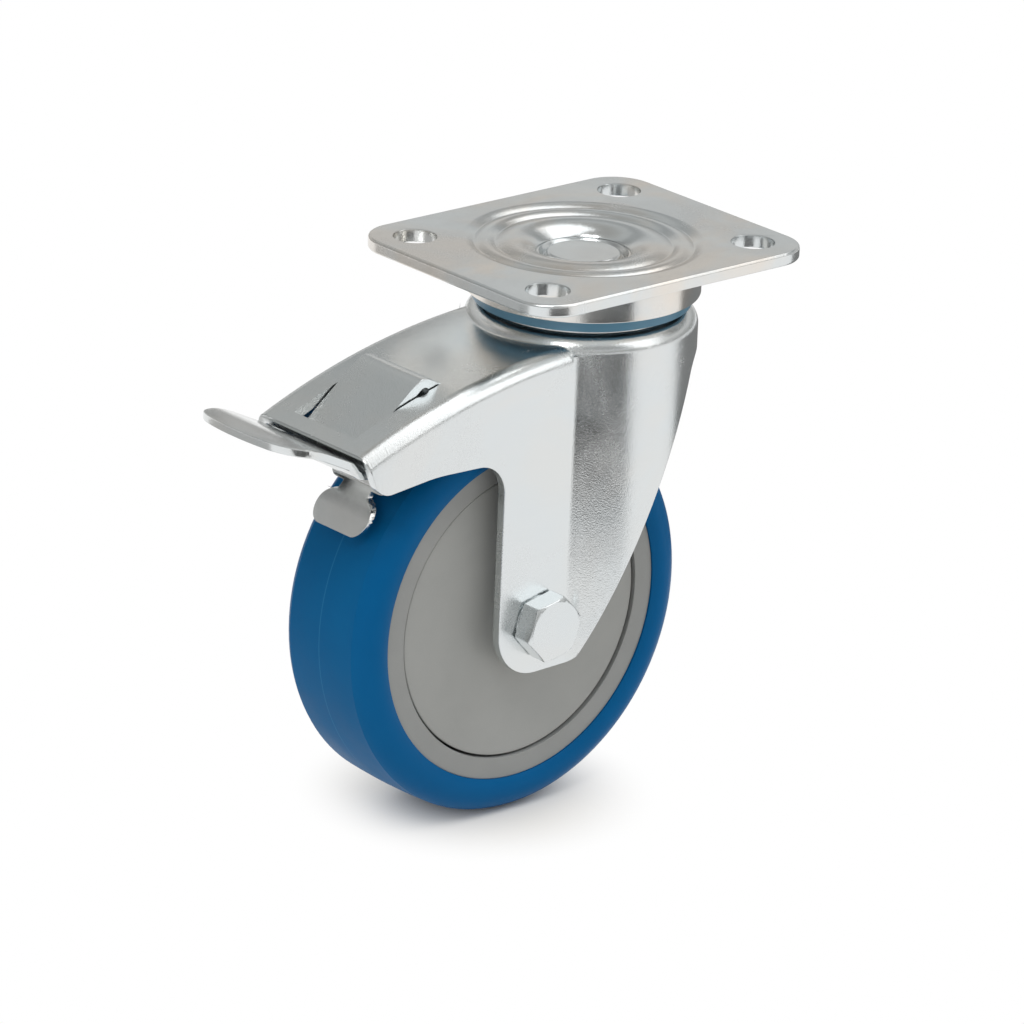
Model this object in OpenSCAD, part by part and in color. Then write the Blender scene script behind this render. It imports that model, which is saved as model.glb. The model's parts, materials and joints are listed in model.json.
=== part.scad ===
// Swivel castor with a pressed steel fork, a total-stop brake pedal and a rubber tyred wheel.
// The origin is the swivel axis at the top plate's upper face. +X is the way it rolls, away from
// the pedal, and the wheel's axle lies along Y.

/* [Top plate] */
// Length of the plate along X
plate_l = 106; // [100:1:120]
// Width of the plate along Y
plate_w = 88; // [84:1:96]
// Thickness of the plate
plate_t = 4; // [3.5:0.5:4.5]
// Radius of the plate's corners
plate_corner_r = 12.5; // [12:0.5:18]
// Rounding along the plate's edges
plate_edge_r = 0.9; // [0.5:0.1:1.2]
// Spacing of the bolt holes along X
hole_gap_x = 80; // [76:1:82]
// Spacing of the bolt holes along Y
hole_gap_y = 60; // [58:1:64]
// Radius of the bolt holes
hole_r = 6.5; // [4.5:0.25:7]

/* [Pressed centre of the plate] */
// Depth of the dish that takes the king pin
dish_depth = 6.3; // [5.5:0.1:6.5]
// Radius of the flat floor of the dish, to the axis of the inner bead
inner_bead_r = 21.5; // [21:0.1:22]
// Section radius of the inner bead
inner_bead_section = 10.2; // [9.8:0.1:10.4]
// Radius to the axis of the outer bead
outer_bead_r = 29.7; // [29.5:0.1:30]
// Section radius of the outer bead
outer_bead_section = 5.3; // [5.1:0.1:5.5]
// Depth of the beads under the plate's face
bead_drop = 0.4; // [0.2:0.1:0.6]
// Radius where the pressing runs out into the flat plate
press_r = 37; // [36.5:0.1:38]
// Section radius of that run-out
press_section = 8; // [7:0.5:10]

/* [Swivel head] */
// Radius of the king pin
pin_r = 9.5; // [8.5:0.1:9.5]
// Radius of the king pin's riveted head
rivet_r = 11.6; // [11:0.1:11.8]
// Height of the riveted head above the dish
rivet_h = 2.6; // [1.5:0.1:3]
// Radius of the king pin's lower head
pin_head_r = 14; // [12.5:0.5:15]
// Height of the lower head
pin_head_h = 4.5; // [3:0.5:5.5]
// Gap between the seal and the raised middle of the crown
seal_run_gap = 1.6; // [1.4:0.1:2]
// How far the skirt's top runs out along the plate
skirt_flare = 2.6; // [2:0.1:3]
// Height of that run-out
skirt_flare_h = 4.6; // [4:0.1:5]
// Depth of the skirt's rim under the plate's face
skirt_drop = 14.5; // [13.5:0.1:15]
// Sheet thickness of the head cup
cup_t = 2.5; // [2:0.1:2.8]
// Depth of the upper race's web under the plate's face
cup_web_drop = 7.6; // [7.4:0.1:8]
// Thickness of the upper race's web
cup_web_t = 3; // [2.8:0.1:3]
// Wall of the dust seal
seal_wall = 1.7; // [1.4:0.1:1.8]
// Depth of the seal's lower rim under the plate's face
seal_drop = 18; // [17:0.1:18.6]
// Radius of the upper balls
upper_ball_r = 3.5; // [3.4:0.1:3.6]
// Pitch radius of the upper balls
upper_pitch_r = 24; // [23.6:0.1:24.2]
// Number of the upper balls
upper_balls_n = 20; // [12:1:20]
// Radius of the lower balls
lower_ball_r = 3; // [2.9:0.1:3.1]
// Pitch radius of the lower balls
lower_pitch_r = 15; // [14.8:0.1:15.2]
// Number of the lower balls
lower_balls_n = 14; // [8:1:14]
// Depth that the balls sink into a race
race_depth = 1.1; // [0.8:0.1:1.2]
// Outer radius of the lower race
lower_race_r = 19.5; // [18.5:0.5:19.5]
// Thickness of the lower race
lower_race_t = 3.7; // [3:0.1:4]
// Outer radius of the toothed lock ring
lock_r = 25; // [24:0.1:25.2]
// Thickness of the lock ring
lock_t = 2.5; // [2:0.1:2.5]
// Number of the lock ring's teeth
lock_teeth = 24; // [12:12:24]
// Width of a notch between two teeth
lock_notch = 3.4; // [3:0.1:3.8]
// Radial depth of a notch
lock_notch_depth = 4.5; // [4:0.5:5]

/* [Fork] */
// Sheet thickness of the fork
sheet_t = 3; // [2.8:0.1:3]
// Half of the fork's width over its side walls
fork_half_w = 26; // [25.5:0.1:26.2]
// Radius of the roof's long curve
roof_r = 220; // [215:1:230]
// Where the roof is highest, along X
roof_x = -12.3; // [-14:0.1:-10]
// Depth of the roof's highest line under the plate's face
roof_drop = 21.8; // [21.6:0.1:22.4]
// Bend radius where the roof turns into the side walls
bend_r = 5; // [4:0.5:6]
// Radius of the crown
crown_r = 34.8; // [34.5:0.1:35.5]
// Depth of the crown's shoulder under the plate's face
crown_drop = 19.5; // [19.2:0.1:20]
// Rounding of the crown's shoulder
crown_edge_r = 5; // [4.5:0.5:6]
// Radius of the raised middle of the crown
step_r = 29.4; // [29.3:0.1:29.8]
// Height of that raised middle
step_h = 4; // [3.8:0.1:4]
// Radius of the hollow run of the side wall into the crown
flare_r = 6; // [5:0.5:8]
// Rear end of the fork, along X
fork_rear_x = -101.8; // [-103:0.1:-101]
// Lower edge of the side wall behind the leg, under the plate's face
arm_drop = 52.2; // [51.5:0.1:53]
// Rear edge of the leg, along X
leg_rear_x = -49.9; // [-51:0.1:-49]
// Foot of the leg below the axle
leg_foot = 15.8; // [15:0.1:17]
// Lower edge of the crown's front, under the plate's face
apron_drop = 32; // [31:0.5:34]
// Where the front edge of the leg meets the crown's front, along X
apron_x = 20; // [18:0.5:22]
// Front corner of the leg's foot, along X
foot_x = -21.5; // [-23:0.5:-20]
// Clearance round the king pin in the crown
crown_bore_gap = 1.5; // [1:0.1:2]

/* [Lanced strip in the roof] */
// Half of the strip's width
strip_half_w = 13.5; // [12.5:0.5:13.5]
// Rear fold of the strip, along X
strip_rear_x = -97; // [-97.5:0.1:-96]
// Front fold of the strip, along X
strip_front_x = -66; // [-67:0.1:-65.5]
// How far the strip dips under the roof at its rear
strip_dip = 5.2; // [5:0.1:5.4]
// How far the strip rises over the roof at its front
strip_rise = 5.6; // [5.2:0.1:5.8]
// Width of the lanced cut along each side of the strip
lance_gap = 0.5; // [0.3:0.1:0.6]

/* [Wheel] */
// Trail of the axle behind the swivel axis
trail = 34.2; // [33:0.1:35]
// Depth of the tyre's top under the plate's face
tyre_top_drop = 43; // [42.5:0.5:45]
// Radius of the tyre
tyre_r = 62.5; // [62:0.1:62.5]
// Half of the tyre's width
tyre_half_w = 19; // [18.5:0.1:19.5]
// Radius of the tyre's shoulders
shoulder_r = 7.5; // [6:0.5:8]
// Radius of the tread's crowning
crowning_r = 210; // [150:10:300]
// Thickness of the tread over the rim
tread_t = 11.1; // [10.5:0.1:12.5]
// Half of the rim's width
rim_half_w = 17.6; // [17.2:0.1:18]
// Width of the rim's lip outside the thread guard
lip_w = 6.5; // [5.5:0.1:6.7]
// Running gap round the thread guard
guard_gap = 0.7; // [0.5:0.1:1]
// How far the thread guard lies below the rim's face
guard_sink = 0.8; // [0.5:0.1:1]
// Thickness of the thread guard
guard_t = 1.6; // [1.4:0.1:1.8]
// Thickness of the rim's web
web_t = 5; // [4:0.5:7]
// Outer radius of the hub
hub_r = 23; // [22:0.5:24]
// Number of ribs on each side of the web
ribs_n = 10; // [6:1:12]
// Thickness of a rib
rib_t = 2.2; // [1.8:0.1:3]
// Radius of the ball bearings
bearing_r = 17.5; // [17:0.1:18]
// Bore radius of the ball bearings
bearing_bore_r = 7.5; // [7.5:0.1:8]
// Width of a ball bearing
bearing_w = 11; // [10:0.5:11]
// Distance of a bearing's outer face from the wheel's middle
bearing_face = 14.6; // [14:0.1:14.8]
// Radius of the bearing balls
bearing_ball_r = 3; // [2.6:0.1:3]
// Number of balls in a bearing
bearing_balls_n = 8; // [6:1:9]

/* [Axle] */
// Radius of the axle bolt
axle_r = 6; // [6:0.05:6.1]
// Clearance of the bolt in the fork and the sleeve
axle_gap = 0.15; // [0.1:0.05:0.2]
// Width across the flats of the bolt's head and nut
hex_af = 18; // [17:0.5:20]
// Height of the bolt's head
hex_head_h = 7.5; // [7:0.5:8]
// Height of the nut's hexagon
nut_h = 9; // [8:0.5:10]
// Height of the nut's collar
nut_collar_h = 3; // [2:0.5:3]
// Height of the washer face under the head and the nut
washer_face_h = 0.6; // [0.5:0.1:0.8]
// Turn of the bolt's head about its axis
hex_turn = 12; // [0:1:59]
// Length of thread that stands out of the nut
thread_out = 2; // [1:0.5:4]

/* [Brake] */
// Sheet thickness of the pedal
pedal_t = 2.5; // [2.3:0.1:2.5]
// Half of the pedal's width
pedal_half_w = 22; // [20:0.5:22]
// Length that the pedal stands out behind the fork
pedal_reach = 30.2; // [28:0.1:31]
// Depth of the pedal's tip under the plate's face
pedal_tip_drop = 32.3; // [31.5:0.1:34]
// Depth of the pedal's middle under the plate's face
pedal_mid_drop = 35.9; // [35.5:0.1:36.5]
// Radius of the bend in the middle of the foot plate
pedal_bend_r = 40; // [30:1:50]
// Front corners of the pedal's foot plate, along X
pedal_front_x = -97; // [-98:0.5:-92]
// Where the pedal's arm starts to taper towards its tooth, along X
pedal_taper_x = -50; // [-54:1:-46]
// Pivot of the pedal, along X
pivot_x = -70; // [-70.5:0.1:-69.5]
// Radius of the pivot pin
pivot_r = 3; // [2.8:0.1:3]
// Gap between an end of the pivot pin and the fork's side wall
pivot_end_gap = 2; // [1:0.5:4]
// Running clearance on the pivot pin
pivot_gap = 0.05; // [0.04:0.01:0.08]
// Wall of the eyes round the pivot pin
eye_wall = 1.8; // [1.5:0.1:1.8]
// Sheet thickness of the brake leaf
leaf_t = 1.8; // [1.5:0.1:1.8]
// Half of the width of the leaf's web under the pedal
leaf_half_w = 14; // [13:0.5:17]
// Where the leaf bends down under the pedal, along X
leaf_bend_x = -83; // [-83.5:0.1:-82.5]
// Depth of that bend under the plate's face
leaf_bend_drop = 47.6; // [47.4:0.1:48]
// Gap between the leaf's web and the underside of the pedal
leaf_web_gap = 1.2; // [0.8:0.1:2]
// Distance of the leaf's end from the tread
leaf_gap = 3.4; // [3.2:0.1:3.6]
// Angle of the leaf's neck about the axle
leaf_neck_angle = 135.5; // [135:0.1:136]
// Angle of the leaf's lower edge about the axle
leaf_end_angle = 149.2; // [149:0.1:150]
// Half of the leaf's width at its eye and neck
neck_half_w = 6.3; // [6:0.1:6.8]
// Half of the width of the leaf's T-shaped end
tee_half_w = 11.8; // [11:0.1:12.5]
// Height of the T-shaped end
tee_h = 9.2; // [8.8:0.1:9.6]
// Gap between pieces that only rest on each other
seat_gap = 0.1; // [0.05:0.05:0.15]
// Clearance of the upper and lower balls to the races that turn past them
ball_gap = 0.2; // [0.15:0.05:0.25]

/* [Hidden] */
$fn = 96;
eps = 0.01;
// How far a hollow cuts past the faces it runs into, so that they cross
tangent_bite = 0.03;

// Heights of the swivel head, all measured from the plate's upper face
dish_floor_t = plate_t;
pin_head_z = -crown_drop + step_h - sheet_t - 2 * lower_ball_r + 2 * race_depth
  - lower_race_t - lock_t;
upper_ball_z = -crown_drop + step_h + upper_ball_r - race_depth;
lower_ball_z = -crown_drop + step_h - sheet_t - lower_ball_r + race_depth;
lower_race_z = lower_ball_z - lower_ball_r + race_depth;
lock_z = lower_race_z - lower_race_t;
cup_bore_r = inner_bead_r - inner_bead_section + plate_t + 1.9;

// The roof's curve and the pivot that hangs under it
roof_z = -roof_drop - roof_r;
function roof_top(x) = roof_z + sqrt(roof_r * roof_r - (x - roof_x) * (x - roof_x));
function roof_cos(x) = (roof_top(x) - roof_z) / roof_r;
function roof_under(x) = roof_top(x) - sheet_t / roof_cos(x);
pivot_z = roof_under(pivot_x) - pivot_r - seat_gap;
eye_r = pivot_r + pivot_gap + eye_wall;

// The skirt stands outside the seal, which runs round the raised middle of the crown
skirt_r = step_r + seal_run_gap + seal_wall + cup_t;

// The wheel's place, its radii and the widths beside it
axle_drop = tyre_top_drop + tyre_r;
wheel_pos = [-trail, 0, -axle_drop];
rim_r = tyre_r - tread_t;
rebate_r = rim_r - lip_w;
inner_half_w = fork_half_w - sheet_t;
guard_face = rim_half_w - guard_sink;
guard_r = rebate_r - guard_gap;

// Angle of a vector, its unit vector and the points of a rounded corner
function unit(v) = v / norm(v);
function angle_of(v) = atan2(v[1], v[0]);
function turn_between(a, b) = (b - a) - 360 * round((b - a) / 360);
function arc_points(c, r, a, sweep, n) = [
  for (i = [0:n]) c + r * [cos(a + sweep * i / n), sin(a + sweep * i / n)]
];
function corner(a, b, c, r, n) =
  let (
    u = unit(a - b),
    v = unit(c - b),
    half = acos(u * v) / 2,
    reach = r / tan(half),
    centre = b + unit(u + v) * r / sin(half),
    start = angle_of(b + u * reach - centre),
    stop = angle_of(b + v * reach - centre)
  )
  arc_points(centre, r, start, turn_between(start, stop), n);
// A path [x, z, corner radius] with its corners rounded; the ends of an open path stay sharp
function rounded(path, closed = false, n = 8) =
  let (m = len(path), xy = [for (p = path) [p[0], p[1]]])
  [
    for (i = [0:m - 1])
      each (path[i][2] == 0 || (!closed && (i == 0 || i == m - 1)))
        ? [xy[i]]
        : corner(xy[(i + m - 1) % m], xy[i], xy[(i + 1) % m], path[i][2], n)
  ];
// The same path moved sideways by d, to its right
function beside(p, d) =
  let (
    m = len(p),
    dirs = [for (i = [0:m - 2]) unit(p[i + 1] - p[i])],
    sides = [for (v = dirs) [v[1], -v[0]]]
  )
  [
    for (i = [0:m - 1])
      let (
        a = sides[max(i - 1, 0)],
        b = sides[min(i, m - 2)]
      )
      p[i] + d * (a + b) / (1 + a * b)
  ];
function reversed(p) = [for (i = [len(p) - 1:-1:0]) p[i]];

// The section of a bent sheet, from its upper line and its thickness
module sheet_section(path, t, n = 8) {
  line = rounded(path, n = n);
  polygon(concat(line, reversed(beside(line, t))));
}

// Stands an XZ section up and gives it a width along Y, both ways from the middle
module across(half_w) {
  rotate([90, 0, 0]) linear_extrude(2 * half_w, center = true) children();
}

// Turns a piece made along Z so that it lies along Y, with its top towards +Y
module along_y() {
  rotate([-90, 0, 0]) children();
}

module at_wheel() {
  translate(wheel_pos) children();
}

module at_pivot() {
  translate([pivot_x, 0, pivot_z]) children();
}

// Both sides of the wheel, mirrored about its middle plane
module both_sides() {
  children();
  mirror([0, 1, 0]) children();
}

// Outline of a wall end with its outer corners rounded, from x = 0 to the given depth
module edge_section(depth, t, r) {
  polygon(rounded([[0, -t, 0], [depth, -t, r], [depth, 0, r], [0, 0, 0]], closed = true, n = 5));
}

// A plate with rounded corners and rounded edges, its upper face at z = 0
module rounded_plate(l, w, t, corner_r, edge_r) {
  inner_l = l - 2 * corner_r;
  inner_w = w - 2 * corner_r;
  translate([-inner_l / 2, -inner_w / 2, -t]) cube([inner_l, inner_w, t]);
  for (s = [0, 180]) rotate([0, 0, s]) {
    translate([inner_l / 2, inner_w / 2, 0])
      rotate([90, 0, 0]) linear_extrude(inner_w) edge_section(corner_r, t, edge_r);
    translate([-inner_l / 2, inner_w / 2, 0])
      rotate([90, 0, 90]) linear_extrude(inner_l) edge_section(corner_r, t, edge_r);
    translate([inner_l / 2, inner_w / 2, 0])
      rotate_extrude(angle = 90) edge_section(corner_r, t, edge_r);
    translate([-inner_l / 2, inner_w / 2, 0])
      rotate([0, 0, 90]) rotate_extrude(angle = 90) edge_section(corner_r, t, edge_r);
  }
}

// What the press takes off the plate's face: two beads, a run-out and the dish
module press_section_2d() {
  bead_floor = -3;
  difference() {
    union() {
      translate([0, -dish_depth]) square([inner_bead_r, dish_depth + 1]);
      translate([inner_bead_r, bead_floor]) square([press_r - inner_bead_r, 1 - bead_floor]);
    }
    translate([inner_bead_r, -bead_drop - inner_bead_section]) circle(inner_bead_section);
    translate([outer_bead_r, -bead_drop - outer_bead_section]) circle(outer_bead_section);
    translate([press_r, 0.03 - press_section]) circle(press_section);
  }
}

// The dish's wall and floor, which stand out under the plate
module dish_section_2d() {
  intersection() {
    union() {
      translate([inner_bead_r, -bead_drop - inner_bead_section])
        circle(inner_bead_section - eps);
      translate([0, -dish_depth - dish_floor_t])
        square([inner_bead_r - inner_bead_section + plate_t, dish_floor_t]);
    }
    difference() {
      translate([0, -dish_depth - dish_floor_t]) square([inner_bead_r, dish_depth + 2]);
      translate([inner_bead_r, -bead_drop - inner_bead_section])
        circle(inner_bead_section - plate_t);
    }
  }
}

module top_plate() {
  color([0.78, 0.79, 0.79]) difference() {
    union() {
      rounded_plate(plate_l, plate_w, plate_t, plate_corner_r, plate_edge_r);
      rotate_extrude() dish_section_2d();
    }
    rotate_extrude() press_section_2d();
    translate([0, 0, -dish_depth - dish_floor_t - 1]) cylinder(h = dish_floor_t + 2, r = pin_r);
    for (x = [-1, 1], y = [-1, 1]) translate([x * hole_gap_x / 2, y * hole_gap_y / 2, 0]) {
      translate([0, 0, -plate_t - 1]) cylinder(h = plate_t + 2, r = hole_r);
    }
  }
}

// Pressed cup welded under the plate: its skirt hides the head, its web is the upper race
module head_cup() {
  web_top = -cup_web_drop;
  flange_r = skirt_r - 4.7;
  color([0.76, 0.77, 0.77]) difference() {
    rotate_extrude() union() {
      sheet_section([[flange_r, -plate_t, 0], [skirt_r, -plate_t, 2.6],
        [skirt_r, -skirt_drop, 0]], cup_t);
      polygon([[flange_r, -plate_t], [flange_r + 1, -plate_t - cup_t],
        [flange_r - 1, web_top - cup_web_t], [cup_bore_r, web_top - cup_web_t],
        [cup_bore_r, web_top], [flange_r - 3, web_top]]);
      polygon(concat([[skirt_r - cup_t / 2, -plate_t - skirt_flare_h],
        [skirt_r - cup_t / 2, -plate_t]], rounded([[skirt_r + skirt_flare, -plate_t, 0],
        [skirt_r + 0.1, -plate_t - 0.8, 3], [skirt_r, -plate_t - skirt_flare_h, 0]])));
    }
    translate([0, 0, upper_ball_z]) rotate_extrude()
      translate([upper_pitch_r, 0]) circle(upper_ball_r + ball_gap);
  }
}

module dust_seal() {
  seal_r = skirt_r - cup_t;
  color([0.32, 0.52, 0.70]) rotate_extrude()
    translate([seal_r - seal_wall, -seal_drop])
      square([seal_wall, seal_drop - cup_web_drop - seat_gap]);
}

module king_pin() {
  rivet_top = -dish_depth + rivet_h;
  head_low = pin_head_z - pin_head_h;
  color([0.74, 0.75, 0.76]) rotate_extrude() polygon(rounded([
    [0, rivet_top, 0], [rivet_r - 0.6, rivet_top, 1.1], [rivet_r, -dish_depth + eps, 0],
    [pin_r, -dish_depth + eps, 0], [pin_r, pin_head_z, 0], [pin_head_r, pin_head_z, 0],
    [pin_head_r, head_low, 1], [0, head_low, 0]], closed = true, n = 5));
}

module lower_race() {
  color([0.72, 0.73, 0.74]) difference() {
    translate([0, 0, lock_z]) cylinder(h = lower_race_t, r = lower_race_r);
    translate([0, 0, lock_z - 1]) cylinder(h = lower_race_t + 2, r = pin_r);
    translate([0, 0, lower_ball_z]) rotate_extrude()
      translate([lower_pitch_r, 0]) circle(lower_ball_r + ball_gap);
  }
}

// The swivel lock's ring: the pedal's tooth rises into one of its notches
module lock_ring() {
  color([0.70, 0.71, 0.72]) difference() {
    translate([0, 0, lock_z - lock_t]) cylinder(h = lock_t, r = lock_r);
    translate([0, 0, lock_z - lock_t - 1]) cylinder(h = lock_t + 2, r = pin_r);
    for (i = [0:lock_teeth - 1]) rotate([0, 0, i * 360 / lock_teeth])
      translate([lock_r - lock_notch_depth, -lock_notch / 2, lock_z - lock_t - 1])
        cube([lock_notch_depth + 1, lock_notch, lock_t + 2]);
  }
}

// A row of balls round the swivel axis
module ball_row(n, pitch_r, r, z) {
  for (i = [0:n - 1]) rotate([0, 0, i * 360 / n])
    translate([pitch_r, 0, z]) sphere(r, $fn = 24);
}

module upper_balls() {
  color([0.85, 0.86, 0.87]) ball_row(upper_balls_n, upper_pitch_r, upper_ball_r, upper_ball_z);
}

module lower_balls() {
  color([0.85, 0.86, 0.87]) ball_row(lower_balls_n, lower_pitch_r, lower_ball_r, lower_ball_z);
}

// The fork's arm as a solid bar: its top follows the roof's curve, its upper edges are bent
module arm_solid(half_w, r, bend) {
  arm_depth = roof_r / 2;
  translate([roof_x, 0, roof_z]) rotate([90, 0, 0]) rotate([0, 0, 83])
    rotate_extrude(angle = 37) {
      translate([arm_depth, -half_w]) square([r - bend - arm_depth, 2 * half_w]);
      translate([arm_depth, -half_w + bend]) square([r - arm_depth, 2 * (half_w - bend)]);
      for (s = [-1, 1]) translate([r - bend, s * (half_w - bend)]) circle(bend);
    }
}

// The crown as a solid post with a rounded shoulder and a raised middle
module crown_solid(r, top, edge, middle_r, middle_top) {
  foot = -axle_drop - 2 * leg_foot;
  rotate_extrude() {
    translate([0, foot]) square([r, top - edge - foot]);
    translate([0, foot]) square([r - edge, top - foot]);
    translate([r - edge, top - edge]) circle(edge);
    translate([0, foot]) square([middle_r, middle_top - foot]);
  }
}

// The hollow that leads from the flat side wall out to the crown, in plan
module flare(half_w, hollow_r, r) {
  foot = -axle_drop - 2 * leg_foot;
  y = half_w + hollow_r - tangent_bite;
  reach = r + hollow_r - tangent_bite;
  x = -sqrt(reach * reach - y * y);
  top = -crown_drop - crown_edge_r;
  both_sides() translate([0, 0, foot]) linear_extrude(top - foot) difference() {
    polygon([[x, half_w - 1.2], [x, y], (r - tangent_bite) / reach * [x, y],
      [x / 2, half_w - 1.2]]);
    translate([x, y]) circle(hollow_r);
  }
}

// Side view of what is left of the fork after trimming
module fork_outline() {
  axle_x = -trail;
  foot_z = -axle_drop - leg_foot;
  polygon(rounded([
    [fork_rear_x, 10, 0],
    [fork_rear_x, roof_top(fork_rear_x) - 1, 0],
    [fork_rear_x + 4.6, -arm_drop - 1.6, 6.5],
    [(fork_rear_x + leg_rear_x) / 2, -arm_drop + 0.8, 60],
    [leg_rear_x, -arm_drop, 10],
    [leg_rear_x, foot_z, axle_x - leg_rear_x - 1.5],
    [foot_x, foot_z + 0.6, 5],
    [apron_x, -apron_drop, 9],
    [crown_r + 5, -apron_drop, 0],
    [crown_r + 5, 10, 0]
  ], closed = true, n = 12));
}

// Side view of the lanced strip: down under the roof at its rear, up over it at its front
module strip_section() {
  dip_x = strip_rear_x + 3.2;
  rise_x = strip_front_x - 5;
  sheet_section([
    [strip_rear_x - 4, roof_top(strip_rear_x - 4) - seat_gap, 0],
    [strip_rear_x, roof_top(strip_rear_x) - seat_gap, sheet_t + 0.4],
    [dip_x, roof_top(dip_x) - strip_dip, 2],
    [rise_x, roof_top(rise_x) + strip_rise, 5],
    [strip_front_x, roof_top(strip_front_x) - seat_gap, 3.5],
    [strip_front_x + 2, roof_top(strip_front_x + 2) - seat_gap, 0]
  ], sheet_t - 2 * seat_gap, n = 6);
}

module fork() {
  t = sheet_t;
  bore_r = pin_r + crown_bore_gap;
  color([0.80, 0.82, 0.83]) {
    difference() {
      intersection() {
        difference() {
          union() {
            arm_solid(fork_half_w, roof_r, bend_r);
            crown_solid(crown_r, -crown_drop, crown_edge_r, step_r, -crown_drop + step_h);
            flare(fork_half_w, flare_r, crown_r);
          }
          arm_solid(inner_half_w, roof_r - t, bend_r - t);
          crown_solid(crown_r - t, -crown_drop - t, crown_edge_r - t, step_r - t,
            -crown_drop + step_h - t);
          flare(inner_half_w, flare_r + t, crown_r - t);
        }
        across(crown_r + 10) fork_outline();
      }
      translate([0, 0, -crown_drop - 10]) cylinder(h = 20, r = bore_r);
      translate([0, 0, upper_ball_z]) rotate_extrude()
        translate([upper_pitch_r, 0]) circle(upper_ball_r + seat_gap);
      translate([0, 0, lower_ball_z]) rotate_extrude()
        translate([lower_pitch_r, 0]) circle(lower_ball_r + seat_gap);
      at_wheel() rotate([90, 0, 0])
        cylinder(h = 4 * fork_half_w, r = axle_r + axle_gap, center = true);
      translate([strip_rear_x, -strip_half_w - lance_gap, roof_top(strip_rear_x) - 2 * strip_dip])
        cube([strip_front_x - strip_rear_x, 2 * (strip_half_w + lance_gap), 5 * strip_dip]);
    }
    across(strip_half_w) strip_section();
  }
}

module tyre() {
  side_r = tyre_r - shoulder_r;
  color([0.09, 0.37, 0.57]) at_wheel() along_y() rotate_extrude($fn = 180) intersection() {
    union() {
      translate([rim_r, -rim_half_w]) square([side_r - rim_r, 2 * rim_half_w]);
      polygon([[rim_r, -rim_half_w], [side_r, -tyre_half_w], [side_r, tyre_half_w],
        [rim_r, rim_half_w]]);
      translate([rim_r, shoulder_r - tyre_half_w])
        square([tyre_r - rim_r, 2 * (tyre_half_w - shoulder_r)]);
      for (s = [-1, 1]) translate([side_r, s * (tyre_half_w - shoulder_r)]) circle(shoulder_r);
    }
    translate([tyre_r - crowning_r, 0]) circle(crowning_r, $fn = 720);
    translate([rim_r, -tyre_half_w]) square([tyre_r, 2 * tyre_half_w]);
  }
}

module wheel_rim() {
  rim_wall = 3.2;
  color([0.57, 0.58, 0.57]) at_wheel() along_y() {
    rotate_extrude($fn = 180) {
      translate([rebate_r, -rim_half_w]) square([rim_r - rebate_r, 2 * rim_half_w]);
      translate([hub_r - 1, -web_t / 2]) square([rebate_r - hub_r + 2, web_t]);
      translate([bearing_r, -bearing_face]) square([hub_r - bearing_r, 2 * bearing_face]);
    }
    for (i = [0:ribs_n - 1]) rotate([0, 0, i * 360 / ribs_n])
      translate([hub_r - 1, -rib_t / 2, -bearing_face + rim_wall])
        cube([rebate_r - hub_r + 2, rib_t, 2 * (bearing_face - rim_wall)]);
  }
}

// A stationary disc that keeps threads out of the hub, clamped between fork and sleeve
module thread_guard() {
  boss_r = bearing_bore_r + race_wall - 0.4;
  disc_low = guard_face - guard_t;
  color([0.55, 0.57, 0.57]) at_wheel() along_y() difference() {
    rotate_extrude($fn = 180) {
      polygon(rounded([[0, disc_low, 0], [guard_r, disc_low, 0], [guard_r, guard_face, 0.4],
        [0, guard_face, 0]], closed = true, n = 4));
      translate([0, bearing_face]) square([boss_r, inner_half_w - bearing_face]);
    }
    translate([0, 0, bearing_face - 1]) cylinder(h = 20, r = axle_r + axle_gap);
  }
}

module near_thread_guard() {
  mirror([0, 1, 0]) thread_guard();
}

module far_thread_guard() {
  thread_guard();
}

// Races and balls of the two bearings share one track radius
track_r = (bearing_r + bearing_bore_r) / 2;
race_wall = (bearing_r - bearing_bore_r) / 2 - bearing_ball_r + 0.8;

module bearing_ring(inner, outer) {
  mid = bearing_face - bearing_w / 2;
  both_sides() at_wheel() along_y() rotate_extrude() difference() {
    translate([inner, bearing_face - bearing_w]) square([outer - inner, bearing_w]);
    translate([track_r, mid]) circle(bearing_ball_r + ball_gap);
  }
}

module bearing_inner_rings() {
  color([0.80, 0.81, 0.82]) bearing_ring(bearing_bore_r, bearing_bore_r + race_wall);
}

module bearing_outer_rings() {
  color([0.80, 0.81, 0.82]) bearing_ring(bearing_r - race_wall, bearing_r);
}

module bearing_balls() {
  mid = bearing_face - bearing_w / 2;
  color([0.85, 0.86, 0.87]) both_sides() at_wheel() along_y()
    for (i = [0:bearing_balls_n - 1]) rotate([0, 0, i * 360 / bearing_balls_n])
      translate([track_r, 0, mid]) sphere(bearing_ball_r, $fn = 24);
}

// Thin rings that close the bearings on their outer faces
module bearing_seals() {
  inner = bearing_bore_r + race_wall + 0.2;
  outer = bearing_r - race_wall;
  color([0.12, 0.12, 0.13]) both_sides() at_wheel() along_y() rotate_extrude()
    translate([inner, bearing_face - 1]) square([outer - inner, 0.8]);
}

module axle_sleeve() {
  color([0.74, 0.75, 0.76]) at_wheel() along_y() difference() {
    cylinder(h = 2 * bearing_face, r = bearing_bore_r, center = true);
    cylinder(h = 2 * bearing_face + 2, r = axle_r + axle_gap, center = true);
  }
}

// A hexagon on its round washer face, its upper corners turned off
module chamfered_hex(h, chamfer = 1.3) {
  corner_r = hex_af / 2 / cos(30);
  cylinder(h = washer_face_h, r = hex_af / 2 - 0.5);
  intersection() {
    translate([0, 0, washer_face_h]) cylinder(h = h - washer_face_h, r = corner_r, $fn = 6);
    rotate_extrude() polygon([[0, 0], [corner_r + 1, 0], [corner_r + 1, h - chamfer],
      [hex_af / 2 - 0.3, h], [0, h]]);
  }
}

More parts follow.
